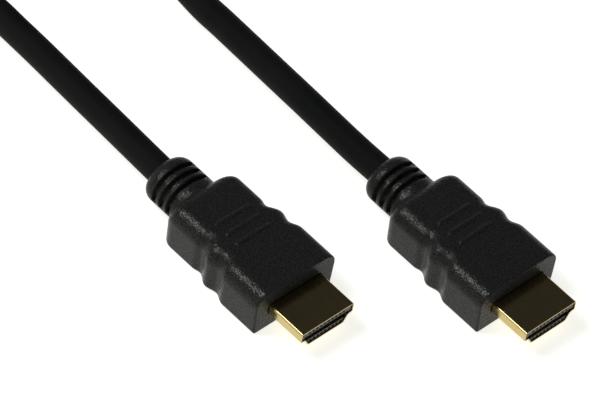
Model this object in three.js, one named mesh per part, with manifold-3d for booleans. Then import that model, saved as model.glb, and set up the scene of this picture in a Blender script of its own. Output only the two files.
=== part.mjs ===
// A black video cable with a full-size 19-contact plug on each end, lying on a floor.
// Millimetres, +Z up. Both plugs point along +X with their undersides on z = 0. The origin is on the
// floor, at the middle of the two plugs. The spare length lies behind them in a neat tied coil.
import * as THREE from "three";
import { mergeVertices } from "three/addons/utils/BufferGeometryUtils.js";
import Module from "manifold-3d";

const wasm = await Module();
wasm.setup();

// Cable
const CABLE_DIAMETER = 6.2;
const CABLE_SIDES = 10;
const LEAD_STEP = 14; // length of one straight step of a lead

// Where the two plugs lie
const PLUG_STAGGER = 26.03; // plug b lies this far ahead of plug a
const PLUG_SPACING = 35.69; // between the two plug axes
const PLUG_B_YAW = THREE.MathUtils.degToRad(0.29);

// Metal shell, the standard plug outline, and how it sits in the moulding
const SHELL_WIDTH = 13.9;
const SHELL_HEIGHT = 4.45;
const SHELL_SIDE = 2.5; // upright part of each side
const SHELL_LEDGE = 1.15; // step inwards below it
const SHELL_SLOPE = 1.05; // further inwards down to the floor of the shell
const SHELL_WALL = 0.3;
const SHELL_CORNER = 0.45;
const SHELL_EXPOSED = 9.5;
const SHELL_SEAT = 6;
const SHELL_AXIS_HEIGHT = 4.6;

// Moulded grip body
const BODY_WIDTH = 21;
const BODY_HEIGHT = 10.95;
const BODY_LENGTH = 29.1;
const TOP_ROUND = 3.3; // wide rounding of the upper edges, at the sides and at the rear
const FOOT_ROUND = 0.8; // rounding of the lower edges
const SIDE_LEAN = 0.3; // the sides lean out by this much on the way up
const REAR_CORNER = 2.8;
const REAR_INSET = 1.57; // the rear is this much narrower on each side
const GRIP_START = 9.3; // behind the front face
const NOTCH_ONE = { at: 12.2, depth: 1.05 };
const HUMP = { at: 14.8, depth: 0.47 };
const NOTCH_TWO = { at: 18, depth: 1.95 };
const GRIP_END = 19.8;
const GRIP_STEPS = 4; // points between one crest or hollow and the next
const FOOT_STEPS = 2;
const TOP_STEPS = 6;

// Ribbed strain relief, moulded in one with the body
const RELIEF_WIDTH = 11.6;
const RELIEF_HEIGHT = 9.8;
const RELIEF_LENGTH = 9.6;
const RELIEF_SHOULDER = 2.4;
const CABLE_AXIS_HEIGHT = 5.2; // above the floor, where the cable leaves the relief
const RELIEF_SIDES = 36;
const RELIEF_OVERLAP = 2; // how far it runs on inside the grip body
const SLOT_COUNT = 3;
const SLOT_WIDTH = 1.15;
const SLOT_PITCH = 2.05;
const SLOT_FIRST = 3.05; // from the cable end to the first slot
const SLOT_DEPTH = 1.1;
const SLOT_FROM = THREE.MathUtils.degToRad(38);
const SLOT_TO = THREE.MathUtils.degToRad(196);

// Insulator inside the shell, with its tongue cavity and its contacts
const INSULATOR_RECESS = 0.25; // behind the mouth of the shell
const CAVITY_WIDTH = 11.7;
const CAVITY_HEIGHT = 1.35;
const CAVITY_DEPTH = 7.4;
const CAVITY_AXIS_DROP = 0.15; // below the middle of the shell
const CONTACT_PITCH = 1.0;
const CONTACTS_UPPER = 10;
const CONTACTS_LOWER = 9;
const CONTACT_SLOT_WIDTH = 0.55;
const CONTACT_SLOT_HEIGHT = 0.85;
const CONTACT_LIP = 0.3; // plastic left between the window of a slot and the cavity
const CONTACT_LIP_DEPTH = 0.7;
const CONTACT_SLOT_REACH = 0.45; // the slot also clears this much of the cavity, for the bow
const CONTACT_WIDTH = 0.4;
const CONTACT_THICKNESS = 0.2;
const CONTACT_SETBACK = 0.35; // tip behind the front of the insulator
const CONTACT_BOW = 0.35; // how far the spring stands into the cavity
const CONTACT_CROWN = 2.0; // top of the bow behind the front of the insulator
const CONTACT_CROWN_HALF = 0.35; // half the length of its flat top
const CONTACT_TIP_FLAT = 0.5; // straight end of the spring
const CONTACT_HOLD = 2; // straight part that is pressed into the insulator

// Further out than any part of the cable, for boxes that cut
const FAR_OUT = 400;

// Clearances
const SEAT_GAP = 0.1; // between pieces that are moulded or pressed together
const CORD_GAP = 0.3; // between the cord solids and what they meet

// Coil of the spare length, and its tie
const COIL_CENTRE = new THREE.Vector2(-134, 19);
const COIL_OUTER_TURN = 42.5; // radius of the outermost turn's centre line
const COIL_TURN_PITCH = 6.25;
const COIL_LAYER_TURNS = 2.84;
const COIL_LAYERS = 2;
const COIL_CORNER = 2.6;
const COIL_SEGMENTS = 48;
const TIE_WIDTH = 5;
const TIE_THICKNESS = 0.8;
const TIE_CORNER = 2.2;
const TIE_ANGLE = THREE.MathUtils.degToRad(140);

// Routes of the two leads, from each plug back to the coil, chosen by hand
const ROUTE_A = [
  [-37.1, -17.85, 5.2], [-44.3, -17.6, 5.15], [-52.4, -17.2, 4.95], [-60.5, -16.8, 4.7],
  [-68.7, -16.3, 4.35], [-77, -15.8, 4], [-84, -15.45, 3.65], [-91, -15.2, 3.4],
  [-98, -15.8, 3.2], [-105, -17.4, 3.1], [-112, -19.7, 3.1], [-119, -21.9, 3.1],
  [-126.5, -23.3, 3.1], [-134, -23.5, 3.1],
];
const ROUTE_B = [
  [-11.1, 17.65, 5.2], [-18.4, 17.6, 5.15], [-26.5, 17.85, 5.05], [-34.6, 18.15, 4.95],
  [-42.9, 18.5, 4.7], [-51.2, 18.9, 4.4], [-59.5, 19.3, 4.1], [-67.9, 19.7, 3.8],
  [-75.8, 21.1, 3.9], [-83.6, 24.5, 5.1], [-90.3, 30.1, 7.3], [-95.8, 37.6, 9.3],
];

// Values that follow from the ones above
const CABLE_RADIUS = CABLE_DIAMETER / 2;
const MOULD_LENGTH = BODY_LENGTH + RELIEF_LENGTH;
const PLUG_MIDDLE = (SHELL_EXPOSED - MOULD_LENGTH) / 2;
const INSULATOR_FRONT = SHELL_EXPOSED - INSULATOR_RECESS;
const CAVITY_AXIS_HEIGHT = SHELL_AXIS_HEIGHT - CAVITY_AXIS_DROP;
const COIL_INNER_TURN = COIL_OUTER_TURN - COIL_LAYER_TURNS * COIL_TURN_PITCH;
const COIL_OUTSIDE = COIL_OUTER_TURN + CABLE_RADIUS;
const COIL_INSIDE = COIL_INNER_TURN - CABLE_RADIUS;
const COIL_HEIGHT = COIL_LAYERS * CABLE_DIAMETER;

// A closed geometry as a solid that can be joined and cut.
function solid(geometry, matrix = new THREE.Matrix4()) {
  const plain = (geometry.index ? geometry.toNonIndexed() : geometry.clone()).applyMatrix4(matrix);
  for (const name of Object.keys(plain.attributes)) {
    if (name !== "position") plain.deleteAttribute(name);
  }
  const merged = mergeVertices(plain, 1e-4);
  return new wasm.Manifold(
    new wasm.Mesh({
      numProp: 3,
      vertProperties: merged.attributes.position.array,
      triVerts: new Uint32Array(merged.index.array),
    }),
  );
}

// A solid back as a geometry with flat faces.
function geometryOf(body) {
  const mesh = body.getMesh();
  const geometry = new THREE.BufferGeometry();
  geometry.setAttribute("position", new THREE.BufferAttribute(new Float32Array(mesh.vertProperties), 3));
  geometry.setIndex(new THREE.BufferAttribute(new Uint32Array(mesh.triVerts), 1));
  const flat = geometry.toNonIndexed();
  flat.computeVertexNormals();
  return flat;
}

const moved = (x, y, z) => new THREE.Matrix4().makeTranslation(x, y, z);

// Turns a shape drawn in the cross-section (x = plug's y, y = height) so that it is extruded along +X.
const ALONG_X = new THREE.Matrix4().makeBasis(
  new THREE.Vector3(0, 1, 0),
  new THREE.Vector3(0, 0, 1),
  new THREE.Vector3(1, 0, 0),
);

// A box given by its lowest and highest corners.
function box(low, high) {
  const size = high.map((value, i) => value - low[i]);
  const middle = high.map((value, i) => (value + low[i]) / 2);
  return solid(new THREE.BoxGeometry(...size), moved(...middle));
}

// A shape in the cross-section extruded from x = back to x = front, at the given height.
function extrudeX(shape, back, front, height) {
  const geometry = new THREE.ExtrudeGeometry(shape, {
    depth: front - back,
    bevelEnabled: false,
    curveSegments: 4,
  });
  return solid(geometry, moved(back, 0, height).multiply(ALONG_X));
}

// Closed polygon with its corners rounded by short curves.
function roundedPolygon(points, radius) {
  const shape = new THREE.Shape();
  points.forEach((corner, i) => {
    const before = points[(i + points.length - 1) % points.length];
    const after = points[(i + 1) % points.length];
    const cut = (other) => {
      const reach = Math.min(radius, corner.distanceTo(other) / 2.5);
      return corner.clone().lerp(other, reach / corner.distanceTo(other));
    };
    const start = cut(before);
    const end = cut(after);
    if (i === 0) shape.moveTo(start.x, start.y);
    else shape.lineTo(start.x, start.y);
    shape.quadraticCurveTo(corner.x, corner.y, end.x, end.y);
  });
  shape.closePath();
  return shape;
}

// The plug's D-shaped outline, drawn inwards from its outside by the given inset.
function shellOutline(inset) {
  const half = SHELL_WIDTH / 2 - inset;
  const top = SHELL_HEIGHT / 2 - inset;
  const ledge = SHELL_HEIGHT / 2 - SHELL_SIDE + inset;
  const ledgeHalf = SHELL_WIDTH / 2 - SHELL_LEDGE - inset;
  const floorHalf = ledgeHalf - SHELL_SLOPE;
  const right = [
    new THREE.Vector2(floorHalf, -top),
    new THREE.Vector2(ledgeHalf, ledge),
    new THREE.Vector2(half, ledge),
    new THREE.Vector2(half, top),
  ];
  const left = right.map((point) => new THREE.Vector2(-point.x, point.y)).reverse();
  return roundedPolygon([...right, ...left], Math.max(SHELL_CORNER - inset, 0.12));
}

// Cross-section of the grip, counter-clockwise: flat foot, leaning sides, wide rounding to a flat top.
function gripSection(half, height) {
  const side = [];
  for (let i = 0; i <= FOOT_STEPS; i += 1) {
    const turn = (i / FOOT_STEPS - 1) * (Math.PI / 2);
    const middle = half - SIDE_LEAN - FOOT_ROUND;
    side.push([middle + FOOT_ROUND * Math.cos(turn), FOOT_ROUND + FOOT_ROUND * Math.sin(turn)]);
  }
  for (let i = 0; i <= TOP_STEPS; i += 1) {
    const turn = (i / TOP_STEPS) * (Math.PI / 2);
    side.push([
      half - TOP_ROUND + TOP_ROUND * Math.cos(turn),
      height - TOP_ROUND + TOP_ROUND * Math.sin(turn),
    ]);
  }
  return [...side, ...side.map(([y, z]) => [-y, z]).reverse()];
}

// Distance from the rear face to depth of a rounding that starts at the given radius before it.
const roundedOff = (radius, rest) => radius - Math.sqrt(radius ** 2 - Math.max(radius - rest, 0) ** 2);

// Sections of the grip from front to rear: two thumb notches with a hump between them, rounded rear.
function gripStations() {
  const half = BODY_WIDTH / 2;
  const marks = [
    { at: GRIP_START, depth: 0 },
    NOTCH_ONE,
    HUMP,
    NOTCH_TWO,
    { at: GRIP_END, depth: REAR_INSET },
  ];
  const stations = [{ at: 0, half, height: BODY_HEIGHT }, { at: GRIP_START, half, height: BODY_HEIGHT }];
  marks.slice(1).forEach((to, i) => {
    const from = marks[i];
    for (let step = 1; step <= GRIP_STEPS; step += 1) {
      const share = step / GRIP_STEPS;
      const blend = (1 - Math.cos(share * Math.PI)) / 2;
      const depth = THREE.MathUtils.lerp(from.depth, to.depth, blend);
      stations.push({ at: THREE.MathUtils.lerp(from.at, to.at, share), half: half - depth, height: BODY_HEIGHT });
    }
  });
  for (let i = 0; i <= TOP_STEPS; i += 1) {
    const rest = TOP_ROUND * (1 - Math.sin((i / TOP_STEPS) * (Math.PI / 2)));
    stations.push({
      at: BODY_LENGTH - rest,
      half: half - REAR_INSET - roundedOff(REAR_CORNER, rest),
      height: BODY_HEIGHT - roundedOff(TOP_ROUND, rest),
    });
  }
  return stations;
}

// A closed solid through sections of equally many points, the first one furthest along +X.
function loft(sections) {
  const count = sections[0].length;
  const index = [];
  for (let i = 0; i + 1 < sections.length; i += 1) {
    for (let j = 0; j < count; j += 1) {
      const next = (j + 1) % count;
      const [a, b] = [i * count + j, i * count + next];
      const [c, d] = [a + count, b + count];
      index.push(a, c, b, b, c, d);
    }
  }
  const last = (sections.length - 1) * count;
  for (let j = 1; j + 1 < count; j += 1) {
    index.push(0, j, j + 1, last, last + j + 1, last + j);
  }
  const geometry = new THREE.BufferGeometry();
  geometry.setAttribute("position", new THREE.Float32BufferAttribute(sections.flat(2), 3));
  geometry.setIndex(index);
  return solid(geometry);
}

function gripBody() {
  return loft(
    gripStations().map(({ at, half, height }) => gripSection(half, height).map(([y, z]) => [-at, y, z])),
  );
}

// The strain relief is turned about the cable, then flattened to its oval section.
function reliefBody() {
  const half = RELIEF_HEIGHT / 2;
  const profile = [new THREE.Vector2(0, 0), new THREE.Vector2(CABLE_RADIUS + SEAT_GAP, 0)];
  const rise = half - CABLE_RADIUS - SEAT_GAP;
  for (let i = 1; i <= 5; i += 1) {
    const turn = (i / 5) * (Math.PI / 2);
    profile.push(
      new THREE.Vector2(
        CABLE_RADIUS + SEAT_GAP + rise * Math.sin(turn),
        RELIEF_SHOULDER * (1 - Math.cos(turn)),
      ),
    );
  }
  const inner = RELIEF_LENGTH + RELIEF_OVERLAP;
  profile.push(new THREE.Vector2(half, inner), new THREE.Vector2(0, inner));
  const place = moved(-MOULD_LENGTH, 0, CABLE_AXIS_HEIGHT)
    .multiply(new THREE.Matrix4().makeScale(1, RELIEF_WIDTH / RELIEF_HEIGHT, 1))
    .multiply(new THREE.Matrix4().makeRotationZ(-Math.PI / 2));
  return solid(new THREE.LatheGeometry(profile, RELIEF_SIDES), place);
}

// One slot of the strain relief: a part ring that is open to the outside.
function reliefSlot(back, from, to) {
  const outside = RELIEF_WIDTH;
  const inside = RELIEF_HEIGHT / 2 - SLOT_DEPTH;
  const shape = new THREE.Shape();
  shape.absarc(0, 0, outside, from, to, false);
  shape.absarc(0, 0, inside, to, from, true);
  shape.closePath();
  const geometry = new THREE.ExtrudeGeometry(shape, {
    depth: SLOT_WIDTH,
    bevelEnabled: false,
    curveSegments: 10,
  });
  const place = moved(back, 0, CABLE_AXIS_HEIGHT)
    .multiply(new THREE.Matrix4().makeScale(1, RELIEF_WIDTH / RELIEF_HEIGHT, 1))
    .multiply(ALONG_X);
  return solid(geometry, place);
}

function overmould() {
  let body = gripBody().add(reliefBody());
  for (let i = 0; i < SLOT_COUNT; i += 1) {
    const back = -MOULD_LENGTH + SLOT_FIRST + i * SLOT_PITCH;
    body = body.subtract(reliefSlot(back, SLOT_FROM, SLOT_TO));
    body = body.subtract(reliefSlot(back, SLOT_FROM + Math.PI, SLOT_TO + Math.PI));
  }
  const pocket = extrudeX(shellOutline(-SEAT_GAP), -SHELL_SEAT - SEAT_GAP, 1, SHELL_AXIS_HEIGHT);
  return body.subtract(pocket);
}

function shell() {
  const outside = extrudeX(shellOutline(0), -SHELL_SEAT, SHELL_EXPOSED, SHELL_AXIS_HEIGHT);
  const inside = extrudeX(shellOutline(SHELL_WALL), -SHELL_SEAT - 1, SHELL_EXPOSED + 1, SHELL_AXIS_HEIGHT);
  return outside.subtract(inside);
}

// Places of the contacts across the plug; side is 1 for the upper row and -1 for the lower one.
function contactPlaces(side) {
  const count = side > 0 ? CONTACTS_UPPER : CONTACTS_LOWER;
  return Array.from({ length: count }, (_, i) => (i - (count - 1) / 2) * CONTACT_PITCH);
}

// Low and high ends of a span that is measured away from the cavity, upwards or downwards.
function awayFromCavity(side, near, far) {
  const wall = CAVITY_AXIS_HEIGHT + (side * CAVITY_HEIGHT) / 2;
  return [wall + side * near, wall + side * far].sort((a, b) => a - b);
}

function contactSlot(y, side) {
  const half = CONTACT_SLOT_WIDTH / 2;
  const [lipLow, lipHigh] = awayFromCavity(side, CONTACT_LIP, CONTACT_SLOT_HEIGHT);
  const [slotLow, slotHigh] = awayFromCavity(side, -CONTACT_SLOT_REACH, CONTACT_SLOT_HEIGHT);
  const lipBack = INSULATOR_FRONT - CONTACT_LIP_DEPTH;
  const back = INSULATOR_FRONT - CAVITY_DEPTH;
  const window = box([lipBack - 0.1, y - half, lipLow], [INSULATOR_FRONT + 1, y + half, lipHigh]);
  const slot = box([back, y - half, slotLow], [lipBack, y + half, slotHigh]);
  return window.add(slot);
}

function insulator() {
  const outline = shellOutline(SHELL_WALL + SEAT_GAP);
  let body = extrudeX(outline, -SHELL_SEAT + SEAT_GAP, INSULATOR_FRONT, SHELL_AXIS_HEIGHT);
  const half = CAVITY_WIDTH / 2;
  const [low] = awayFromCavity(-1, 0, 0);
  const [high] = awayFromCavity(1, 0, 0);
  const back = INSULATOR_FRONT - CAVITY_DEPTH;
  body = body.subtract(box([back, -half, low], [INSULATOR_FRONT + 1, half, high]));
  for (const side of [1, -1]) {
    for (const y of contactPlaces(side)) body = body.subtract(contactSlot(y, side));
  }
  return body;
}

// A spring contact: a strip along the outer wall of its slot that bows into the cavity near its tip.
function contact(side) {
  const far = CONTACT_SLOT_HEIGHT - SEAT_GAP;
  const near = far - CONTACT_THICKNESS;
  const bow = -CONTACT_BOW;
  const tip = INSULATOR_FRONT - CONTACT_SETBACK;
  const crownBack = INSULATOR_FRONT - CONTACT_CROWN - CONTACT_CROWN_HALF;
  const crownFront = crownBack + 2 * CONTACT_CROWN_HALF;
  const root = INSULATOR_FRONT - CAVITY_DEPTH + SEAT_GAP;
  const hold = root + CONTACT_HOLD;
  const path = [
    [root, near], [hold, near], [crownBack, bow], [crownFront, bow],
    [tip - CONTACT_TIP_FLAT, near], [tip, near], [tip, far], [tip - CONTACT_TIP_FLAT, far],
    [crownFront, bow + CONTACT_THICKNESS], [crownBack, bow + CONTACT_THICKNESS], [hold, far], [root, far],
  ];
  const wall = CAVITY_AXIS_HEIGHT + (side * CAVITY_HEIGHT) / 2;
  const shape = new THREE.Shape(path.map(([x, z]) => new THREE.Vector2(x, wall + side * z)));
  const geometry = new THREE.ExtrudeGeometry(shape, { depth: CONTACT_WIDTH, bevelEnabled: false });
  const upright = new THREE.Matrix4().makeRotationX(Math.PI / 2);
  return solid(geometry, moved(0, CONTACT_WIDTH / 2, 0).multiply(upright));
}

const finish = (color, roughness, metalness) => new THREE.MeshStandardMaterial({ color, roughness, metalness });
const MATERIALS = {
  mould: finish(0x1c1c1c, 0.55, 0),
  jacket: finish(0x181818, 0.45, 0),
  gold: finish(0xd6b96a, 0.25, 1),
  insulator: finish(0x2a2a28, 0.5, 0),
  tie: finish(0x222222, 0.6, 0),
};

function piece(name, body, material) {
  const mesh = new THREE.Mesh(geometryOf(body), material);
  mesh.name = name;
  return mesh;
}

function plug(letter) {
  const group = new THREE.Group();
  group.add(piece(`plug_${letter}_overmould`, overmould(), MATERIALS.mould));
  group.add(piece(`plug_${letter}_shell`, shell(), MATERIALS.gold));
  group.add(piece(`plug_${letter}_insulator`, insulator(), MATERIALS.insulator));
  for (const side of [1, -1]) {
    const row = side > 0 ? "upper" : "lower";
    contactPlaces(side).forEach((y, i) => {
      const mesh = piece(`plug_${letter}_contact_${row}_${i + 1}`, contact(side), MATERIALS.gold);
      mesh.position.y = y;
      group.add(mesh);
    });
  }
  return group;
}

// A flat ring section that is turned into the coil's outer shape.
function coilSection(grow) {
  const corners = [
    new THREE.Vector2(COIL_INSIDE - grow, -grow),
    new THREE.Vector2(COIL_OUTSIDE + grow, -grow),
    new THREE.Vector2(COIL_OUTSIDE + grow, COIL_HEIGHT + grow),
    new THREE.Vector2(COIL_INSIDE - grow, COIL_HEIGHT + grow),
  ];
  const points = roundedPolygon(corners, COIL_CORNER).getPoints(3);
  points.push(points[0].clone());
  return points;
}

function coilRing(grow) {
  const ring = new THREE.LatheGeometry(coilSection(grow), COIL_SEGMENTS);
  const upright = new THREE.Matrix4().makeRotationX(Math.PI / 2);
  return solid(ring, moved(COIL_CENTRE.x, COIL_CENTRE.y, 0).multiply(upright));
}

// The tie's band: an upright rounded loop around the coil's section.
function tieLoop(inner, outer, width) {
  const loop = (grow, corner) => {
    const inside = COIL_INSIDE - grow;
    const outside = COIL_OUTSIDE + grow;
    const low = TIE_THICKNESS - grow;
    const high = TIE_THICKNESS + COIL_HEIGHT + grow;
    const corners = [
      new THREE.Vector2(inside, low),
      new THREE.Vector2(outside, low),
      new THREE.Vector2(outside, high),
      new THREE.Vector2(inside, high),
    ];
    return roundedPolygon(corners, corner);
  };
  const shape = loop(outer, TIE_CORNER + outer);
  shape.holes.push(loop(inner, TIE_CORNER + inner));
  const geometry = new THREE.ExtrudeGeometry(shape, { depth: width, bevelEnabled: false, curveSegments: 4 });
  const place = moved(COIL_CENTRE.x, COIL_CENTRE.y, 0)
    .multiply(new THREE.Matrix4().makeRotationZ(TIE_ANGLE))
    .multiply(moved(0, width / 2, 0))
    .multiply(new THREE.Matrix4().makeRotationX(Math.PI / 2));
  return solid(geometry, place);
}

function lead(route) {
  const curve = new THREE.CatmullRomCurve3(route.map((point) => new THREE.Vector3(...point)), false, "centripetal");
  const section = new THREE.Shape(
    Array.from({ length: CABLE_SIDES }, (_, i) => {
      const turn = (i / CABLE_SIDES) * 2 * Math.PI;
      return new THREE.Vector2(CABLE_RADIUS * Math.cos(turn), CABLE_RADIUS * Math.sin(turn));
    }),
  );
  const steps = Math.ceil(curve.getLength() / LEAD_STEP);
  return solid(new THREE.ExtrudeGeometry(section, { extrudePath: curve, steps }));
}

// The part of a lead between its plug's end face and the coil.
function leadBetween(route, coilRoom) {
  const exit = route[0][0] - CORD_GAP;
  const behind = box([-FAR_OUT, -FAR_OUT, 0], [exit, FAR_OUT, FAR_OUT]);
  const pieces = lead(route).intersect(behind).subtract(coilRoom).decompose();
  return pieces.reduce((largest, other) => (other.volume() > largest.volume() ? other : largest));
}

const cable = new THREE.Group();
const plugA = plug("a");
plugA.position.set(-PLUG_STAGGER / 2 - PLUG_MIDDLE, -PLUG_SPACING / 2, 0);
const plugB = plug("b");
plugB.position.set(PLUG_STAGGER / 2 - PLUG_MIDDLE, PLUG_SPACING / 2, 0);
plugB.rotation.z = PLUG_B_YAW;
cable.add(plugA, plugB);

const tieRoom = tieLoop(-CORD_GAP, TIE_THICKNESS + CORD_GAP, TIE_WIDTH + 2 * CORD_GAP);
cable.add(piece("cable_coil", coilRing(0).subtract(tieRoom), MATERIALS.jacket));
cable.add(piece("coil_tie", tieLoop(0, TIE_THICKNESS, TIE_WIDTH), MATERIALS.tie));
cable.add(piece("cable_lead_a", leadBetween(ROUTE_A, coilRing(CORD_GAP)), MATERIALS.jacket));
cable.add(piece("cable_lead_b", leadBetween(ROUTE_B, coilRing(CORD_GAP)), MATERIALS.jacket));

export default cable;
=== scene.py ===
# %% [markdown]
# # A black video cable with two gold-plated plugs
# This script dresses a ready-made mechanical model. The model is the frame: it fixes every size and
# place, and the Blender pieces only add the shapes and finishes that make it look real.
# The frame is loaded first.

# %% Load the frame
import math

import bmesh
import bpy
from mathutils import Matrix, Vector


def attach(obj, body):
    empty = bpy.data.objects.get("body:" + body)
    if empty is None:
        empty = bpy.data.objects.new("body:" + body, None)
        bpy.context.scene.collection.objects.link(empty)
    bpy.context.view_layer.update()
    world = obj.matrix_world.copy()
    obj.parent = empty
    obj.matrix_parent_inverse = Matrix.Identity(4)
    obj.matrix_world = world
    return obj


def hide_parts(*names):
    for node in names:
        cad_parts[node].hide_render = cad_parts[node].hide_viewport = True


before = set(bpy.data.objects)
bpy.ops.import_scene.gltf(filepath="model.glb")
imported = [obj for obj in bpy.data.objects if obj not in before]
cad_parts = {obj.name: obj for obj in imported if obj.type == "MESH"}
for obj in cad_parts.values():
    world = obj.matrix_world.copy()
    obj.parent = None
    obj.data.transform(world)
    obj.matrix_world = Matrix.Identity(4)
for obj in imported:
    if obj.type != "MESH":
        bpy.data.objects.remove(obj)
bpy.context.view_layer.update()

MM = 0.001
scene = bpy.context.scene

# %% [markdown]
# ## The camera
# The camera stands 1.4 m away with a very long lens, so parallel edges stay nearly parallel, as in a
# catalogue picture. A camera looks along its own -Z with +Y up, so its rotation is a matrix whose
# columns are the picture's right, the picture's up and the direction back to the camera.
# The numbers come from fitting the metal shells' corners, whose real size is standard.

# %% Camera
CAMERA_PLACE = Vector((573.43, -723.65, 1065.51)) * MM
CAMERA_RIGHT = Vector((0.67163, 0.73029, 0.12490))
CAMERA_UP = Vector((-0.61228, 0.45218, 0.64857))
PICTURE_WIDTH = 600
FOCAL_PIXELS = 7161.8
SENSOR_WIDTH = 36.0
CLIP_NEAR = 0.05
CLIP_FAR = 20


def make_camera():
    """Adds the camera and makes it the scene's own."""
    data = bpy.data.cameras.new("view_camera")
    data.sensor_fit = "HORIZONTAL"
    data.sensor_width = SENSOR_WIDTH
    data.lens = SENSOR_WIDTH * (FOCAL_PIXELS / PICTURE_WIDTH)
    data.clip_start = CLIP_NEAR
    data.clip_end = CLIP_FAR
    camera = bpy.data.objects.new("view_camera", data)
    right = CAMERA_RIGHT.normalized()
    up = (CAMERA_UP - right * CAMERA_UP.dot(right)).normalized()
    turn = Matrix((right, up, right.cross(up))).transposed().to_4x4()
    camera.matrix_world = Matrix.Translation(CAMERA_PLACE) @ turn
    scene.collection.objects.link(camera)
    scene.camera = camera
    print("lens in mm:", round(data.lens, 1))


make_camera()

# %% [markdown]
# ## The cable's route
# A cable is a fixed length of something flexible. This one is 6.2 mm thick and fairly stiff: it
# leaves each plug straight, sinks to the floor over about 7 cm, and its spare length is wound into a
# neat two-layer coil. The points below are the same ones that the frame uses for its two leads.
# The coil could be drawn by hand, but a spiral has a simple rule: each turn moves inwards by one
# cable width. So its points are worked out, sixteen to a turn: in along the bottom layer, up at the
# hole, and out again along the top layer.

# %% Route of the leads and the coil
CABLE_DIAMETER = 6.2
CABLE_RADIUS = CABLE_DIAMETER / 2
ROUTE_A = [
    (-37.1, -17.85, 5.2), (-44.3, -17.6, 5.15), (-52.4, -17.2, 4.95), (-60.5, -16.8, 4.7),
    (-68.7, -16.3, 4.35), (-77, -15.8, 4), (-84, -15.45, 3.65), (-91, -15.2, 3.4),
    (-98, -15.8, 3.2), (-105, -17.4, 3.1), (-112, -19.7, 3.1), (-119, -21.9, 3.1),
    (-126.5, -23.3, 3.1), (-134, -23.5, 3.1),
]
ROUTE_B = [
    (-11.1, 17.65, 5.2), (-18.4, 17.6, 5.15), (-26.5, 17.85, 5.05), (-34.6, 18.15, 4.95),
    (-42.9, 18.5, 4.7), (-51.2, 18.9, 4.4), (-59.5, 19.3, 4.1), (-67.9, 19.7, 3.8),
    (-75.8, 21.1, 3.9), (-83.6, 24.5, 5.1), (-90.3, 30.1, 7.3), (-95.8, 37.6, 9.3),
]
COIL_CENTRE = (-134, 19)
COIL_OUTER = 42.5
COIL_INNER = 24.75
COIL_LOW = 3.1
COIL_HIGH = 9.3
COIL_START = math.radians(-90)
COIL_SWEEP = 2044  # degrees
COIL_TURNS = COIL_SWEEP / 360
POINTS_PER_TURN = 16
CLIMB_TURNS = 0.3  # share of a turn in which the cable climbs from one layer to the other


def ease(share):
    """A smooth way from 0 to 1."""
    share = min(max(share, 0), 1)
    return share * share * (3 - 2 * share)


def coil_points():
    """Points of the coil in millimetres, from the bottom's outer turn to the top's outer turn."""
    half = COIL_TURNS / 2
    count = round(COIL_TURNS * POINTS_PER_TURN)
    points = []
    for step in range(1, count):
        turns = step / count * COIL_TURNS
        inwards = 1 - abs(turns - half) / half
        radius = COIL_OUTER + (COIL_INNER - COIL_OUTER) * inwards
        climb = ease((turns - half) / CLIMB_TURNS + 0.5)
        angle = COIL_START - turns * 2 * math.pi
        points.append((
            COIL_CENTRE[0] + radius * math.cos(angle),
            COIL_CENTRE[1] + radius * math.sin(angle),
            COIL_LOW + (COIL_HIGH - COIL_LOW) * climb,
        ))
    return points


cable_route = ROUTE_A + coil_points() + ROUTE_B[::-1]
print("route points:", len(cable_route))

# %% [markdown]
# ## The cable as a curve
# A curve with a round bevel is the right tool for a cable: its centre line stays editable and its
# thickness is exact. A Bezier spline passes through each point, and automatic handles keep it
# smooth. The finished curve stays one open spline, which lets the frame measure its length.
# Blender adds each point's radius to a curve's box, so the bevel is one metre and the radius
# itself is the cable's. That gives the same thickness and a box that fits.

# %% Cable curve
BEVEL_RADIUS = 1.0  # in metres, and each point's own radius scales it
ROUND_STEPS = 6
LENGTH_STEPS = 6


def smooth_curve(name, points, radius):
    """A round, smooth cord through points that are given in millimetres."""
    data = bpy.data.curves.new(name, "CURVE")
    data.dimensions = "3D"
    data.bevel_depth = BEVEL_RADIUS
    data.bevel_resolution = ROUND_STEPS
    data.resolution_u = LENGTH_STEPS
    data.use_fill_caps = True
    spline = data.splines.new("BEZIER")
    spline.bezier_points.add(len(points) - 1)
    for knot, point in zip(spline.bezier_points, points):
        knot.co = Vector(point) * MM
        knot.radius = radius * MM
        knot.handle_left_type = "AUTO"
        knot.handle_right_type = "AUTO"
    piece = bpy.data.objects.new(name, data)
    scene.collection.objects.link(piece)
    return piece


def curve_length(points):
    """Length in metres along straight steps between the points."""
    return sum((Vector(b) - Vector(a)).length for a, b in zip(points, points[1:])) * MM


cable = smooth_curve("cable", cable_route, CABLE_RADIUS)
print("cable length in metres:", round(curve_length(cable_route), 3))

# %% [markdown]
# ## Lift the coil over its tie
# The tie's band passes under the coil, so the turns rise by the band's thickness there. The rise is
# a long low hump, because a stiff cable doesn't kink. It is added to the curve's own points.

# %% Hump at the tie
TIE_ANGLE = math.radians(140)
TIE_THICKNESS = 0.8
HUMP_REACH = math.radians(60)
HUMP_STEEPNESS = 1.4
COIL_MARGIN = 1


def lift_over_tie(piece):
    """Raises the coil's points near the tie, with a smooth start and end."""
    for knot in piece.data.splines[0].bezier_points:
        x, y, z = (v / MM for v in knot.co)
        across = Vector((x - COIL_CENTRE[0], y - COIL_CENTRE[1]))
        if across.length > COIL_OUTER + COIL_MARGIN:
            continue
        away = math.atan2(across.y, across.x) - TIE_ANGLE
        away = abs((away + math.pi) % (2 * math.pi) - math.pi)
        rise = TIE_THICKNESS * ease(HUMP_STEEPNESS * (1 - away / HUMP_REACH))
        knot.co.z = (z + rise) * MM
        knot.handle_left_type = knot.handle_right_type = "AUTO"


lift_over_tie(cable)
print("rise at the tie in mm:", TIE_THICKNESS)

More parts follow.
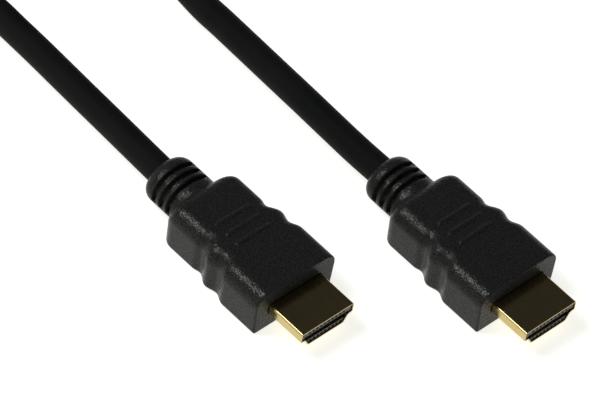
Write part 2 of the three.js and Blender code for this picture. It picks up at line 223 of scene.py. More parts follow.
# %% [markdown]
# ## Small tools for modelling
# A bmesh is Blender's mesh with its modelling operators. A cross-section is drawn with a pen: the
# pen's vertex is extruded along straight lines and spun along arcs, so the operators place every
# point. The finished mesh is turned into a piece that rides on the frame's one body.

# %% Pen for cross-sections
X_AXIS = (1, 0, 0)
Y_AXIS = (0, 1, 0)
TINY = 0.001  # millimetres, for merging and comparing
VERT, EDGE, FACE = bmesh.types.BMVert, bmesh.types.BMEdge, bmesh.types.BMFace


def of_kind(parts, kind):
    """The vertices, edges or faces among what an operator returned."""
    return [part for part in parts if isinstance(part, kind)]


def pen_line(bm, vert, place):
    """Extrudes the pen's vertex straight to a new place."""
    made = bmesh.ops.extrude_vert_indiv(bm, verts=[vert])["verts"][0]
    made.co = Vector(place)
    return made


def pen_arc(bm, vert, centre, axis, steps):
    """Spins the pen's vertex a quarter turn about a centre."""
    made = bmesh.ops.spin(
        bm, geom=[vert], cent=centre, axis=axis, angle=math.radians(90), steps=steps,
        use_duplicate=False,
    )["geom_last"]
    return of_kind(made, VERT)[0]


# %% Meshes and pieces
def object_of(name, bm):
    """Turns a bmesh in millimetres into an object, with the millimetres kept for now."""
    mesh = bpy.data.meshes.new(name)
    bm.to_mesh(mesh)
    bm.free()
    made = bpy.data.objects.new(name, mesh)
    scene.collection.objects.link(made)
    return made


def apply_modifiers(piece):
    """Replaces the piece's mesh by what its modifiers make of it."""
    bpy.context.view_layer.update()
    shown = piece.evaluated_get(bpy.context.evaluated_depsgraph_get())
    old = piece.data
    piece.data = bpy.data.meshes.new_from_object(shown)
    piece.modifiers.clear()
    bpy.data.meshes.remove(old)


def combine(piece, tool, operation):
    """Joins a tool to a piece, or cuts it from it, and removes the tool."""
    modifier = piece.modifiers.new("combine", "BOOLEAN")
    modifier.object = tool
    modifier.operation = operation
    modifier.solver = "EXACT"
    apply_modifiers(piece)
    bpy.data.meshes.remove(tool.data)


def triangle_count(mesh):
    """How many triangles the mesh's faces make."""
    return sum(len(face.vertices) - 2 for face in mesh.polygons)


def smooth_faces(mesh, degrees):
    """Shades smoothly, except across edges that are sharper than the angle."""
    mesh.polygons.foreach_set("use_smooth", [True] * len(mesh.polygons))
    mesh.set_sharp_from_angle(angle=math.radians(degrees))


# %% [markdown]
# ## The grip
# The grip is a soft moulding with a flat underside, sides that lean out a little, and a wide
# rounding along the top. It could be a bevelled box, but a wide bevel folds over itself at the thumb
# notches. So half of its section is drawn once and extruded station by station towards the rear, and
# at each station the outer points are moved in by the notch's depth. At the rear the height and the
# width follow a quarter circle. Mirroring gives the other half.

# %% Sizes of the grip
BODY_WIDTH = 21.0
BODY_HEIGHT = 10.95
BODY_LENGTH = 29.1
TOP_ROUND = 3.3
FOOT_ROUND = 0.8
SIDE_LEAN = 0.3
REAR_CORNER = 2.8
REAR_INSET = 1.57
FRONT_EDGE = 0.25
FRONT_EDGE_STEPS = 3
GRIP_MARKS = [(9.3, 0.0), (12.2, 1.05), (14.8, 0.47), (18.0, 1.95), (19.8, 1.57)]
FRONT_STEPS = 4
MARK_STEPS = 8
REAR_STEPS = 12


def rounded_off(radius, rest):
    """How far a rounding has come in, at a distance before the end face."""
    return radius - math.sqrt(max(radius ** 2 - max(radius - rest, 0) ** 2, 0))


def grip_stations():
    """Distance behind the front face, depth of the side and loss of height at each station."""
    first_mark = GRIP_MARKS[0][0]
    stations = [(step / FRONT_STEPS * first_mark, 0.0, 0.0) for step in range(1, FRONT_STEPS + 1)]
    for (at, depth), (next_at, next_depth) in zip(GRIP_MARKS, GRIP_MARKS[1:]):
        for step in range(1, MARK_STEPS + 1):
            share = step / MARK_STEPS
            blend = (1 - math.cos(share * math.pi)) / 2
            stations.append((at + (next_at - at) * share, depth + (next_depth - depth) * blend, 0.0))
    for step in range(REAR_STEPS + 1):
        rest = TOP_ROUND * (1 - math.sin(step / REAR_STEPS * math.pi / 2))
        inset = REAR_INSET + rounded_off(REAR_CORNER, rest)
        stations.append((BODY_LENGTH - rest, inset, rounded_off(TOP_ROUND, rest)))
    return stations


# %% Grip
FOOT_STEPS = 5
TOP_STEPS = 14
ROOF_FROM = FOOT_ROUND + 0.1  # what is higher than this sinks with the roof


def grip_body():
    """The grip as one closed mesh, with its front face in the plane x = 0."""
    bm = bmesh.new()
    half = BODY_WIDTH / 2
    foot = half - SIDE_LEAN - FOOT_ROUND
    shoulder = BODY_HEIGHT - TOP_ROUND
    pen = pen_line(bm, bm.verts.new((0, 0, 0)), (0, foot, 0))
    pen = pen_arc(bm, pen, (0, foot, FOOT_ROUND), X_AXIS, FOOT_STEPS)
    pen = pen_line(bm, pen, (0, half, shoulder))
    pen = pen_arc(bm, pen, (0, half - TOP_ROUND, shoulder), X_AXIS, TOP_STEPS)
    pen_line(bm, pen, (0, 0, BODY_HEIGHT))
    edges = bm.edges[:]
    last = (0.0, 0.0, 0.0)
    for station in grip_stations():
        extruded = bmesh.ops.extrude_edge_only(bm, edges=edges)["geom"]
        verts = of_kind(extruded, VERT)
        edges = of_kind(extruded, EDGE)
        back, inwards, down = (now - before for now, before in zip(station, last))
        bmesh.ops.translate(bm, verts=verts, vec=(-back, 0, 0))
        outer = [v for v in verts if v.co.y > TINY]
        bmesh.ops.translate(bm, verts=outer, vec=(0, -inwards, 0))
        upper = [v for v in verts if v.co.z > ROOF_FROM]
        bmesh.ops.translate(bm, verts=upper, vec=(0, 0, -down))
        last = station
    bmesh.ops.mirror(bm, geom=bm.verts[:] + bm.edges[:] + bm.faces[:], axis="Y", merge_dist=TINY)
    bmesh.ops.remove_doubles(bm, verts=bm.verts[:], dist=TINY)
    bmesh.ops.holes_fill(bm, edges=[e for e in bm.edges if e.is_boundary], sides=0)
    bmesh.ops.recalc_face_normals(bm, faces=bm.faces[:])
    front = [e for e in bm.edges if all(abs(v.co.x) < TINY for v in e.verts)]
    bmesh.ops.bevel(
        bm, geom=front, offset=FRONT_EDGE, offset_type="OFFSET", segments=FRONT_EDGE_STEPS,
        profile=0.5, affect="EDGES", material=-1, clamp_overlap=True,
    )
    return object_of("grip", bm)


# %% [markdown]
# ## The strain relief
# Behind the grip the moulding narrows to a ribbed sleeve that keeps the cable from kinking. It is
# nearly round, so its profile is spun about the cable and then widened. Its slots are part rings that
# don't go all the way round, which leaves two stiffer webs. Each cutter is a small rectangle that is
# spun through that angle, widened in the same way, and cut out.

# %% Sizes of the strain relief
CABLE_AXIS = 5.2
RELIEF_WIDTH = 11.6
RELIEF_HEIGHT = 9.8
RELIEF_LENGTH = 9.6
RELIEF_SHOULDER = 2.4
RELIEF_OVERLAP = 2
MOULD_LENGTH = BODY_LENGTH + RELIEF_LENGTH
SLOT_PLACES = (3.05, 5.1, 7.15)
SLOT_WIDTH = 1.15
SLOT_DEPTH = 1.1
SLOT_FROM = 38
SLOT_SWEEP = 158
CUTTER_REACH = 5
BORE_DEPTH = 4.0
CORNER_STEPS = 8
SLEEVE_STEPS = 64
SLOT_STEPS = 24
BORE_STEPS = 48


def widen(bm):
    """Makes what was spun about the cable as wide as the sleeve."""
    bmesh.ops.scale(bm, vec=(1, RELIEF_WIDTH / RELIEF_HEIGHT, 1), verts=bm.verts[:])
    bmesh.ops.translate(bm, vec=(0, 0, CABLE_AXIS), verts=bm.verts[:])


# %% Sleeve, slots and bore
def sleeve():
    """The sleeve without its slots, closed, running on into the grip."""
    bm = bmesh.new()
    top = RELIEF_HEIGHT / 2
    rise = top - CABLE_RADIUS
    pen = bm.verts.new((-MOULD_LENGTH, 0, 0))
    pen = pen_line(bm, pen, (-MOULD_LENGTH, 0, CABLE_RADIUS))
    pen = pen_arc(bm, pen, (rise - MOULD_LENGTH, 0, CABLE_RADIUS), Y_AXIS, CORNER_STEPS)
    for vert in bm.verts:
        from_end = vert.co.x + MOULD_LENGTH
        vert.co.x = -MOULD_LENGTH + from_end * RELIEF_SHOULDER / rise
    for z in (top, 0):
        pen = pen_line(bm, pen, (RELIEF_OVERLAP - BODY_LENGTH, 0, z))
    bmesh.ops.spin(
        bm, geom=bm.verts[:] + bm.edges[:], cent=(0, 0, 0), axis=X_AXIS,
        angle=2 * math.pi, steps=SLEEVE_STEPS, use_merge=True, use_duplicate=False,
    )
    bmesh.ops.remove_doubles(bm, verts=bm.verts[:], dist=TINY)
    widen(bm)
    bmesh.ops.recalc_face_normals(bm, faces=bm.faces[:])
    return object_of("sleeve", bm)


def slot_cutter(place, start):
    """One slot: a rectangle spun part of the way about the cable."""
    bm = bmesh.new()
    back = -MOULD_LENGTH + place
    low = RELIEF_HEIGHT / 2 - SLOT_DEPTH
    front, high = back + SLOT_WIDTH, low + CUTTER_REACH
    corners = [(back, low), (front, low), (front, high), (back, high)]
    face = bm.faces.new([bm.verts.new((x, 0, z)) for x, z in corners])
    turn = Matrix.Rotation(math.radians(start - 90), 3, "X")
    bmesh.ops.rotate(bm, verts=bm.verts[:], cent=(0, 0, 0), matrix=turn)
    bmesh.ops.spin(
        bm, geom=[face] + face.edges[:] + face.verts[:], cent=(0, 0, 0), axis=X_AXIS,
        angle=math.radians(SLOT_SWEEP), steps=SLOT_STEPS, use_duplicate=False,
    )
    bmesh.ops.recalc_face_normals(bm, faces=bm.faces[:])
    widen(bm)
    return object_of("slot_cutter", bm)


def bore_cutter():
    """Round hole for the cable in the sleeve's end."""
    bm = bmesh.new()
    bmesh.ops.create_cone(
        bm, cap_ends=True, segments=BORE_STEPS, radius1=CABLE_RADIUS, radius2=CABLE_RADIUS,
        depth=2 * BORE_DEPTH,
    )
    bmesh.ops.rotate(bm, verts=bm.verts[:], cent=(0, 0, 0), matrix=Matrix.Rotation(math.pi / 2, 3, "Y"))
    bmesh.ops.translate(bm, verts=bm.verts[:], vec=(-MOULD_LENGTH, 0, CABLE_AXIS))
    return object_of("bore_cutter", bm)


# %% [markdown]
# ## The metal shell's outline
# Every such plug has the same D-shaped outline: flat top, short upright sides, a step inwards and a
# slope down to a narrower floor. The same outline cuts the pocket in the grip and makes the shell, so
# one function draws it at any distance from the shell's outside.

# %% Outline of the shell
SHELL_WIDTH = 13.9
SHELL_HEIGHT = 4.45
SHELL_SIDE = 2.5
SHELL_LEDGE = 1.15
SHELL_SLOPE = 1.05
SHELL_CORNER = 0.45
SHELL_CORNER_STEPS = 5
SHELL_SEAT = 6
SHELL_AXIS = 4.6
SEAT_GAP = 0.1
POCKET_MARGIN = 2


def shell_ring(bm, inset, x):
    """Closed D-shaped outline in the plane of the given x, as a face."""
    half = SHELL_WIDTH / 2 - inset
    top = SHELL_AXIS + SHELL_HEIGHT / 2 - inset
    low = SHELL_AXIS - SHELL_HEIGHT / 2 + inset
    ledge = SHELL_AXIS + SHELL_HEIGHT / 2 - SHELL_SIDE + inset
    ledge_half = SHELL_WIDTH / 2 - SHELL_LEDGE - inset
    floor_half = ledge_half - SHELL_SLOPE
    right = [(floor_half, low), (ledge_half, ledge), (half, ledge), (half, top)]
    outline = right + [(-y, z) for y, z in reversed(right)]
    face = bm.faces.new([bm.verts.new((x, y, z)) for y, z in outline])
    bmesh.ops.bevel(
        bm, geom=face.verts[:], offset=SHELL_CORNER - inset, offset_type="OFFSET",
        segments=SHELL_CORNER_STEPS, profile=0.5, affect="VERTICES", material=-1, clamp_overlap=True,
    )
    return bm.faces[:][0]


def extrude_ring(bm, face, length):
    """Extrudes an outline's face along +X into a closed solid."""
    made = bmesh.ops.extrude_face_region(bm, geom=[face], use_keep_orig=True)["geom"]
    bmesh.ops.translate(bm, verts=of_kind(made, VERT), vec=(length, 0, 0))
    bmesh.ops.recalc_face_normals(bm, faces=bm.faces[:])


def pocket_cutter():
    """The hole in the grip's front that the shell sits in."""
    bm = bmesh.new()
    face = shell_ring(bm, -SEAT_GAP, -SHELL_SEAT - SEAT_GAP)
    extrude_ring(bm, face, SHELL_SEAT + POCKET_MARGIN)
    return object_of("pocket_cutter", bm)


# %% [markdown]
# ## Ribs across the top
# Three low ribs give the finger a hold. Each is a sphere that is pulled apart at its middle into a
# long capsule, and sunk so far that only its back stands out. Its rounded end catches the lamp.

# %% Ribs
RIB_PLACES = (19.1, 16.05, 13.05)
RIB_RADIUS = 0.7
RIB_RISE = 0.29
RIB_HALF = 4.0
RIB_STEPS = (24, 16)


def top_rib(place):
    """One low rib with rounded ends, mostly sunk in the top."""
    bm = bmesh.new()
    around, along = RIB_STEPS
    bmesh.ops.create_uvsphere(bm, u_segments=around, v_segments=along, radius=RIB_RADIUS)
    bmesh.ops.rotate(bm, verts=bm.verts[:], cent=(0, 0, 0), matrix=Matrix.Rotation(math.pi / 2, 3, "X"))
    right = [v for v in bm.verts if v.co.y > -TINY]
    left = [v for v in bm.verts if v.co.y <= -TINY]
    bmesh.ops.translate(bm, verts=right, vec=(0, RIB_HALF, 0))
    bmesh.ops.translate(bm, verts=left, vec=(0, -RIB_HALF, 0))
    bmesh.ops.translate(bm, verts=bm.verts[:], vec=(-place, 0, BODY_HEIGHT + RIB_RISE - RIB_RADIUS))
    return object_of("top_rib", bm)


# %% [markdown]
# ## The whole moulding
# The parts are joined and cut, and then the surface is rebuilt from small cubes and smoothed a few
# times. That step is called a voxel remesh. It rounds every inner corner a little, as a real mould
# does, and gives an even mesh. Bevelling each edge after so many cuts would be far more work.

# %% Moulding
MOULD_VOXEL = 0.19
SMOOTHING_ROUNDS = 2
SMOOTHING_FACTOR = 0.5


def moulding():
    """Grip and strain relief in one, in the plug's own place."""
    body = grip_body()
    combine(body, sleeve(), "UNION")
    for place in SLOT_PLACES:
        for start in (SLOT_FROM, SLOT_FROM + 180):
            combine(body, slot_cutter(place, start), "DIFFERENCE")
    for place in RIB_PLACES:
        combine(body, top_rib(place), "UNION")
    combine(body, bore_cutter(), "DIFFERENCE")
    combine(body, pocket_cutter(), "DIFFERENCE")
    remesh = body.modifiers.new("remesh", "REMESH")
    remesh.mode = "VOXEL"
    remesh.voxel_size = MOULD_VOXEL
    smooth = body.modifiers.new("smooth", "SMOOTH")
    smooth.factor = SMOOTHING_FACTOR
    smooth.iterations = SMOOTHING_ROUNDS
    apply_modifiers(body)
    print("moulding triangles:", triangle_count(body.data))
    return body


mould = moulding()

# %% [markdown]
# ## Where the plugs stand
# Both plugs are the same moulding, so each shape is made once, in the plug's own millimetres, and a
# copy is placed for each plug. The place goes into the mesh, so every object stays at the origin,
# where the frame keeps its own parts.

# %% Places of the two plugs
PLUG_PLACES = {
    "plug_a": ((1.585, -17.845, 0), 0.0),
    "plug_b": ((27.615, 17.845, 0), 0.29),
}


def plug_matrix(plug):
    """From a plug's own millimetres to the frame's metres."""
    origin, yaw = PLUG_PLACES[plug]
    place = Matrix.Translation(Vector(origin) * MM)
    return place @ Matrix.Rotation(math.radians(yaw), 4, "Z") @ Matrix.Scale(MM, 4)


def placed_copies(shape, part, degrees):
    """One piece for each plug, which stands for the frame's node of the same name."""
    pieces = []
    for plug in PLUG_PLACES:
        node = plug + "_" + part
        piece = bpy.data.objects.new("piece_" + node, shape.data.copy())
        piece.data.transform(plug_matrix(plug))
        smooth_faces(piece.data, degrees)
        scene.collection.objects.link(piece)
        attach(piece, "root")
        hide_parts(node)
        pieces.append(piece)
    bpy.data.meshes.remove(shape.data)
    print(part, "pieces:", [piece.name for piece in pieces])
    return pieces


SMOOTH_ALL = 180  # degrees, so every edge is shaded smoothly
moulds = placed_copies(mould, "overmould", SMOOTH_ALL)

# %% [markdown]
# ## The gold shells
# The real shell is one strip of thin metal that is folded to its outline. So the outline's edge is
# extruded to an open sleeve, Solidify gives it the metal's thickness inwards, and a small bevel
# breaks the cut edges, which catch the light. A Weighted Normal modifier lets the wide faces decide
# the shading, so they look flat right up to their rounded edges.

# %% Shells
SHELL_EXPOSED = 9.5
SHELL_WALL = 0.25
SHELL_EDGE = 0.07
SHELL_EDGE_STEPS = 2
SHELL_SMOOTH = 35  # degrees, so its cut edges stay crisp
RIM_FROM_ANGLE = math.radians(50)


def metal_shell():
    """The folded sleeve of one plug, with its wall."""
    bm = bmesh.new()
    face = shell_ring(bm, 0, -SHELL_SEAT)
    bmesh.ops.delete(bm, geom=[face], context="FACES_ONLY")
    made = bmesh.ops.extrude_edge_only(bm, edges=bm.edges[:])["geom"]
    bmesh.ops.translate(bm, verts=of_kind(made, VERT), vec=(SHELL_SEAT + SHELL_EXPOSED, 0, 0))
    bmesh.ops.recalc_face_normals(bm, faces=bm.faces[:])
    top_face = max(bm.faces, key=lambda face: face.calc_center_median().z)
    if top_face.normal.z < 0:
        bmesh.ops.reverse_faces(bm, faces=bm.faces[:])
    shell = object_of("metal_shell", bm)
    wall = shell.modifiers.new("wall", "SOLIDIFY")
    wall.thickness = SHELL_WALL
    wall.offset = -1
    wall.use_even_offset = True
    rim = shell.modifiers.new("rim", "BEVEL")
    rim.width = SHELL_EDGE
    rim.segments = SHELL_EDGE_STEPS
    rim.limit_method = "ANGLE"
    rim.angle_limit = RIM_FROM_ANGLE
    apply_modifiers(shell)
    print("shell triangles:", triangle_count(shell.data))
    return shell


shells = placed_copies(metal_shell(), "shell", SHELL_SMOOTH)
for shell in shells:
    flat_sides = shell.modifiers.new("flat_sides", "WEIGHTED_NORMAL")
    flat_sides.keep_sharp = True

# %% [markdown]
# ## The tie
# A wire tie holds the coil: a flat plastic ribbon with a wire in its middle. Its loop is one
# cross-section that is extruded along the straight runs and spun round the corners. Its two ends are
# twisted about each other and stick out into the coil's hole.

# %% Sizes of the tie
TIE_WIDTH = 5.0
TIE_CORNER = 2.2
TIE_INNER = 21.65
TIE_OUTER = 45.6
TIE_TOP = 13.2
TIE_MERGE = 0.01
RIBBON_EDGE = 0.25
RIBBON_FLAT = 0.3  # share of the full thickness
WIRE_FOOT = 0.8
WIRE_TOP = 0.35
TURN_STEPS = 6


def ribbon_section(bm, width):
    """The ribbon's cross-section: thin at its edges, thicker over its wire."""
    half = width / 2
    flat = TIE_THICKNESS * RIBBON_FLAT
    outline = [(-half, 0), (-half + RIBBON_EDGE, flat), (-WIRE_FOOT, flat), (-WIRE_TOP, TIE_THICKNESS / 2)]
    outline += [(-y, z) for y, z in reversed(outline[1:])] + [(half, 0)]
    outline += [(y, -z) for y, z in reversed(outline[1:-1])]
    return bm.faces.new([bm.verts.new((0, y, z)) for y, z in outline])


def push_on(bm, front, first):
    """Extrudes the front face, drops the old one unless it is the first, and gives what is new."""
    made = bmesh.ops.extrude_face_region(bm, geom=[front])["geom"]
    if front is not first:
        bmesh.ops.delete(bm, geom=[front], context="FACES_ONLY")
    return of_kind(made, VERT), of_kind(made, FACE)[0]


# %% Loop of the tie
def tie_loop():
    """The closed loop round the coil, in the plane of the tie's angle."""
    bm = bmesh.new()
    face = ribbon_section(bm, TIE_WIDTH)
    middle = TIE_THICKNESS / 2
    corner = TIE_CORNER + middle
    low, high = middle, TIE_TOP + middle
    near, far = TIE_INNER - middle, TIE_OUTER + middle
    bmesh.ops.translate(bm, verts=bm.verts[:], vec=(near + corner, 0, low))
    runs = [
        ((far - near - 2 * corner, 0), (far - corner, low + corner)),
        ((0, high - low - 2 * corner), (far - corner, high - corner)),
        ((near - far + 2 * corner, 0), (near + corner, high - corner)),
        ((0, low - high + 2 * corner), (near + corner, low + corner)),
    ]
    front = face
    for (along, up), (centre_x, centre_z) in runs:
        verts, front = push_on(bm, front, face)
        bmesh.ops.translate(bm, verts=verts, vec=(along, 0, up))
        made = bmesh.ops.spin(
            bm, geom=[front], cent=(centre_x, 0, centre_z), axis=(0, -1, 0),
            angle=math.pi / 2, steps=TURN_STEPS, use_duplicate=False,
        )["geom_last"]
        front = of_kind(made, FACE)[0]
    ends = [f for f in bm.faces if len(f.verts) > 4]
    bmesh.ops.delete(bm, geom=ends, context="FACES_ONLY")
    bmesh.ops.remove_doubles(bm, verts=bm.verts[:], dist=TIE_MERGE)
    bmesh.ops.recalc_face_normals(bm, faces=bm.faces[:])
    return bm


# %% Twisted ends of the tie
TAIL_WIDTH = 0.55  # share of the ribbon's width
TAIL_HEIGHT = 0.62  # share of the loop's height
TAIL_APART = 0.55  # share of the ribbon's thickness, from the twist's axis
TAIL_LENGTH = 12.0
TAIL_TWISTS = 2.5
TAIL_STEPS = 40


def tie_tail(bm, side):
    """One of the two ends, twisted about the other, towards the coil's centre."""
    face = ribbon_section(bm, TIE_WIDTH * TAIL_WIDTH)
    start = Vector((TIE_INNER - TIE_THICKNESS, 0, TIE_TOP * TAIL_HEIGHT))
    aside = Vector((0, 0, side * TIE_THICKNESS * TAIL_APART))
    bmesh.ops.translate(bm, verts=face.verts[:], vec=start + aside)
    step_turn = Matrix.Rotation(TAIL_TWISTS * 2 * math.pi / TAIL_STEPS, 3, "X")
    front = face
    for _ in range(TAIL_STEPS):
        verts, front = push_on(bm, front, face)
        bmesh.ops.translate(bm, verts=verts, vec=(-TAIL_LENGTH / TAIL_STEPS, 0, 0))
        bmesh.ops.rotate(bm, verts=verts, cent=start, matrix=step_turn)


# %% Tie
TIE_SMOOTH = 35


def make_tie():
    """The tie as one piece in its place."""
    bm = tie_loop()
    for side in (1, -1):
        tie_tail(bm, side)
    bmesh.ops.recalc_face_normals(bm, faces=bm.faces[:])
    bmesh.ops.rotate(bm, verts=bm.verts[:], cent=(0, 0, 0), matrix=Matrix.Rotation(TIE_ANGLE, 3, "Z"))
    bmesh.ops.translate(bm, verts=bm.verts[:], vec=(*COIL_CENTRE, 0))
    bmesh.ops.scale(bm, verts=bm.verts[:], vec=(MM, MM, MM))
    piece = object_of("piece_coil_tie", bm)
    smooth_faces(piece.data, TIE_SMOOTH)
    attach(piece, "root")
    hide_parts("coil_tie")
    print("tie triangles:", triangle_count(piece.data))
    return piece


tie = make_tie()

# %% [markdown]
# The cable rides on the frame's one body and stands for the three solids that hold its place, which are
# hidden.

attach(cable, "root")
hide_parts("cable_lead_a", "cable_lead_b", "cable_coil")

# %% [markdown]
# ## Materials
# Every finish is a small tree of nodes. Its pattern reads Object coordinates, which are metres here,
# so a noise of scale 3000 has grains of a third of a millimetre. The trees could be written out one
# by one, but a helper with a short call for each node makes them easy to compare.

# %% Helpers for materials
PATTERN_LOW = 0.3  # a noise lies mostly between these two values
PATTERN_HIGH = 0.7


class Finish:
    """A Principled material with short calls for its nodes."""

    def __init__(self, name):
        self.material = bpy.data.materials.new(name)
        self.material.use_nodes = True
        self.tree = self.material.node_tree
        self.shader = self.tree.nodes["Principled BSDF"]
        self.place = self.node("ShaderNodeTexCoord").outputs["Object"]

    def node(self, kind):
        """Adds a node."""
        return self.tree.nodes.new(kind)

    def link(self, start, end):
        """Joins two sockets."""
        self.tree.links.new(start, end)

    def constant(self, socket, value):
        """Sets a number that is the same all over the surface."""
        self.shader.inputs[socket].default_value = value

    def colour(self, rgb, socket="Base Color"):
        """Sets a colour that is the same all over the surface."""
        self.constant(socket, (*rgb, 1))

    def stretch(self, scale):
        """The place, stretched by a Mapping node."""
        mapping = self.node("ShaderNodeMapping")
        mapping.inputs["Scale"].default_value = scale
        self.link(self.place, mapping.inputs["Vector"])
        return mapping.outputs["Vector"]

    def noise(self, scale, detail, place=None):
        """A noise pattern from 0 to 1."""
        noise = self.node("ShaderNodeTexNoise")
        noise.inputs["Scale"].default_value = scale
        noise.inputs["Detail"].default_value = detail
        self.link(place or self.place, noise.inputs["Vector"])
        return noise.outputs["Fac"]

    def vary_roughness(self, pattern, low, high):
        """Roughness that goes from low to high with a pattern."""
        ranged = self.node("ShaderNodeMapRange")
        ranged.inputs["From Min"].default_value = PATTERN_LOW
        ranged.inputs["From Max"].default_value = PATTERN_HIGH
        ranged.inputs["To Min"].default_value = low
        ranged.inputs["To Max"].default_value = high
        self.link(pattern, ranged.inputs["Value"])
        self.link(ranged.outputs["Result"], self.shader.inputs["Roughness"])

    def vary_colour(self, pattern, first, second):
        """Colour that goes from the first to the second with a pattern."""
        ramp = self.node("ShaderNodeValToRGB")
        ramp.color_ramp.elements[0].position = PATTERN_LOW
        ramp.color_ramp.elements[0].color = (*first, 1)
        ramp.color_ramp.elements[1].position = PATTERN_HIGH
        ramp.color_ramp.elements[1].color = (*second, 1)
        self.link(pattern, ramp.inputs["Fac"])
        self.link(ramp.outputs["Color"], self.shader.inputs["Base Color"])

    def bump(self, pattern, depth):
        """Bump of a depth in metres."""
        bump = self.node("ShaderNodeBump")
        bump.inputs["Strength"].default_value = 1.0
        bump.inputs["Distance"].default_value = depth
        self.link(pattern, bump.inputs["Height"])
        self.link(bump.outputs["Normal"], self.shader.inputs["Normal"])

    def dress(self, *pieces):
        """Gives the material to pieces."""
        for piece in pieces:
            piece.data.materials.clear()
            piece.data.materials.append(self.material)
        print(self.material.name, "on", len(pieces))


# %% [markdown]
# ## Moulded plastic
# The mould of such a grip is eroded by sparks, which gives the plastic a fine, even grain that
# glitters under a lamp. The grain could be sculpted, but it is finer than the mesh. So one noise makes
# the bump, a second one speckles the colour, and slow clouds vary the roughness a little.

# %% Moulded plastic
GRAIN_SCALE = 2700
GRAIN_DEPTH = 0.00013
SPECK_SCALE = 3300
SPECK_DARK = (0.012, 0.012, 0.0115)
SPECK_LIGHT = (0.05, 0.05, 0.047)
MOULD_CLOUDS = 220
MOULD_SPECULAR = 0.06
MOULD_TINT = (1.0, 0.98, 0.82)

mould_finish = Finish("spark_eroded_black")
mould_finish.constant("Specular IOR Level", MOULD_SPECULAR)
mould_finish.colour(MOULD_TINT, "Specular Tint")
mould_finish.vary_colour(mould_finish.noise(SPECK_SCALE, 2), SPECK_DARK, SPECK_LIGHT)
mould_finish.vary_roughness(mould_finish.noise(MOULD_CLOUDS, 3), 0.19, 0.24)
mould_finish.bump(mould_finish.noise(GRAIN_SCALE, 1.5), GRAIN_DEPTH)
mould_finish.dress(*moulds)

# %% [markdown]
# ## Cable jacket
# The jacket is drawn out of a die while it is hot, so it is smoother than the moulding and quite dull.
# It needs no pattern that runs along the cable. Clouds of two near blacks and a very shallow grain
# keep it from looking like a flat colour.

# %% Cable jacket
JACKET_CLOUDS = 150
JACKET_GRAIN = 2600
JACKET_DARK = (0.012, 0.012, 0.0115)
JACKET_LIGHT = (0.016, 0.016, 0.0153)
JACKET_SPECULAR = 0.04
FINE_DEPTH = 0.00001

jacket_finish = Finish("jacket_black")
jacket_clouds = jacket_finish.noise(JACKET_CLOUDS, 3)
jacket_finish.constant("Specular IOR Level", JACKET_SPECULAR)
jacket_finish.vary_colour(jacket_clouds, JACKET_DARK, JACKET_LIGHT)
jacket_finish.vary_roughness(jacket_clouds, 0.56, 0.66)
jacket_finish.bump(jacket_finish.noise(JACKET_GRAIN, 2), FINE_DEPTH)
jacket_finish.dress(cable)

# %% [markdown]
# ## Gold plating
# The shell is rolled sheet with a thin plating, so fine lines run along it. An even gold would look
# like paint. A noise that is stretched along the shell makes the lines in roughness and bump, and
# clouds shift the colour slightly. The contacts have the same kind of lines, only finer.

# %% Gold plating
METAL = 1.0
GOLD_CLOUDS = 400
GOLD_DEEP = (0.55, 0.425, 0.18)
GOLD_PALE = (0.60, 0.47, 0.21)
GOLD_LINES = 900
GOLD_LINE_DEPTH = 0.0000005

gold_finish = Finish("gold_plating")
gold_finish.constant("Metallic", METAL)
gold_finish.vary_colour(gold_finish.noise(GOLD_CLOUDS, 3), GOLD_DEEP, GOLD_PALE)
gold_lines = gold_finish.noise(GOLD_LINES, 2, gold_finish.stretch((0.08, 1, 1)))
gold_finish.vary_roughness(gold_lines, 0.16, 0.24)
gold_finish.bump(gold_lines, GOLD_LINE_DEPTH)
gold_finish.dress(*shells)

# %% Contacts
CONTACT_GOLD = (0.78, 0.56, 0.20)
CONTACT_LINES = 5000
CONTACT_LINE_DEPTH = 0.000001

contact_finish = Finish("contact_plating")
contact_finish.colour(CONTACT_GOLD)
contact_finish.constant("Metallic", METAL)
contact_lines = contact_finish.noise(CONTACT_LINES, 2, contact_finish.stretch((0.1, 1, 1)))
contact_finish.vary_roughness(contact_lines, 0.14, 0.26)
contact_finish.bump(contact_lines, CONTACT_LINE_DEPTH)
contact_finish.dress(*[node for name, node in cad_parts.items() if "_contact_" in name])

# %% [markdown]
# ## Insulator and tie
# The block inside the shell and the tie's cover are plain black plastics, harder and shinier than
# the grip. Both take one colour, and a fine noise that varies roughness and bump together.

# %% Insulator and tie
def plain_plastic(name, colour, scale, dull_low, dull_high):
    """A smooth plastic with a fine grain."""
    finish = Finish(name)
    finish.colour(colour)
    grain = finish.noise(scale, 3)
    finish.vary_roughness(grain, dull_low, dull_high)
    finish.bump(grain, FINE_DEPTH)
    return finish


insulator_finish = plain_plastic("insulator_black", (0.02, 0.02, 0.019), 3000, 0.32, 0.45)
insulator_finish.dress(*[node for name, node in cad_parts.items() if name.endswith("_insulator")])
tie_finish = plain_plastic("tie_black", (0.011, 0.011, 0.011), 1800, 0.3, 0.44)
tie_finish.dress(tie)

# %% [markdown]
# ## Floor, light and world
# The catalogue picture has a white ground that is brighter than paper white, like a light table. The
# black sides reflect it. Overhead it is dark, so the top faces stay black. One large soft lamp at
# the upper left lights everything, and a small one beside it is seen in the mouldings' reflections
# alone: it draws the sparkle on their rounded edges, without a hard shadow.

# %% Floor
FLOOR_SIZE = 6.0
FLOOR_COLOUR = (0.85, 0.85, 0.83)
FLOOR_ROUGHNESS = 0.9
GLOW_COLOUR = (1.0, 1.0, 0.95)
FLOOR_GLOW = 0.82


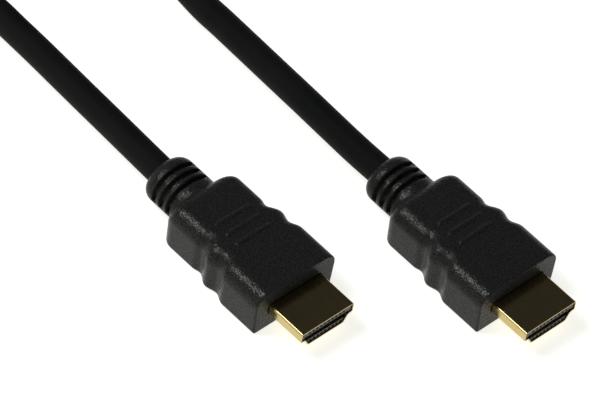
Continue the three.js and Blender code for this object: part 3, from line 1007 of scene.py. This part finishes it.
def make_floor():
    """A plain pale floor that glows a little, like a light table."""
    bm = bmesh.new()
    bmesh.ops.create_grid(bm, x_segments=1, y_segments=1, size=FLOOR_SIZE / 2)
    floor = object_of("floor", bm)
    finish = Finish("floor_white")
    finish.colour(FLOOR_COLOUR)
    finish.constant("Roughness", FLOOR_ROUGHNESS)
    finish.constant("Specular IOR Level", 0.0)
    finish.colour(GLOW_COLOUR, "Emission Color")
    finish.constant("Emission Strength", FLOOR_GLOW)
    finish.dress(floor)


make_floor()

# %% Lamps
LAMP_DISTANCE = 1.2
LAMP_DIRECTION = (-0.405, -0.388, 0.828)
LAMP_COLOUR = (0.92, 0.96, 1.0)


def soft_lamp(name, size, power):
    """A square soft lamp at the upper left that looks at the plugs."""
    data = bpy.data.lights.new(name, "AREA")
    data.shape = "SQUARE"
    data.size = size
    data.energy = power
    data.color = LAMP_COLOUR
    lamp = bpy.data.objects.new(name, data)
    direction = Vector(LAMP_DIRECTION).normalized()
    lamp.location = direction * LAMP_DISTANCE
    lamp.rotation_euler = direction.to_track_quat("Z", "Y").to_euler()
    scene.collection.objects.link(lamp)
    print(name, "watts:", power)
    return lamp


soft_lamp("upper_left_lamp", size=0.5, power=5.5)
glint_lamp = soft_lamp("glint_lamp", size=0.08, power=16)
glint_lamp.visible_diffuse = False
glint_pieces = bpy.data.collections.new("glint_pieces")
for piece in moulds:
    glint_pieces.objects.link(piece)
glint_lamp.light_linking.receiver_collection = glint_pieces

# %% World
HORIZON_COLOUR = (0.5, 0.5, 0.49, 1)
HORIZON_END = 0.1  # heights go from 0 at the horizon to 1 overhead
OVERHEAD_COLOUR = (0.036, 0.037, 0.044, 1)
OVERHEAD_START = 0.4


def make_world():
    """Pale round the horizon and dim overhead."""
    world = bpy.data.worlds.new("studio")
    scene.world = world
    world.use_nodes = True
    nodes, links = world.node_tree.nodes, world.node_tree.links
    place = nodes.new("ShaderNodeTexCoord")
    split = nodes.new("ShaderNodeSeparateXYZ")
    ramp = nodes.new("ShaderNodeValToRGB")
    links.new(place.outputs["Generated"], split.inputs["Vector"])
    links.new(split.outputs["Z"], ramp.inputs["Fac"])
    links.new(ramp.outputs["Color"], nodes["Background"].inputs["Color"])
    ramp.color_ramp.elements[0].position = HORIZON_END
    ramp.color_ramp.elements[0].color = HORIZON_COLOUR
    ramp.color_ramp.elements[1].position = OVERHEAD_START
    ramp.color_ramp.elements[1].color = OVERHEAD_COLOUR


make_world()
scene.view_settings.view_transform = "Standard"

# %% [markdown]
# ## Finish
# The view layer is brought up to date.

# %% Finish
bpy.context.view_layer.update()
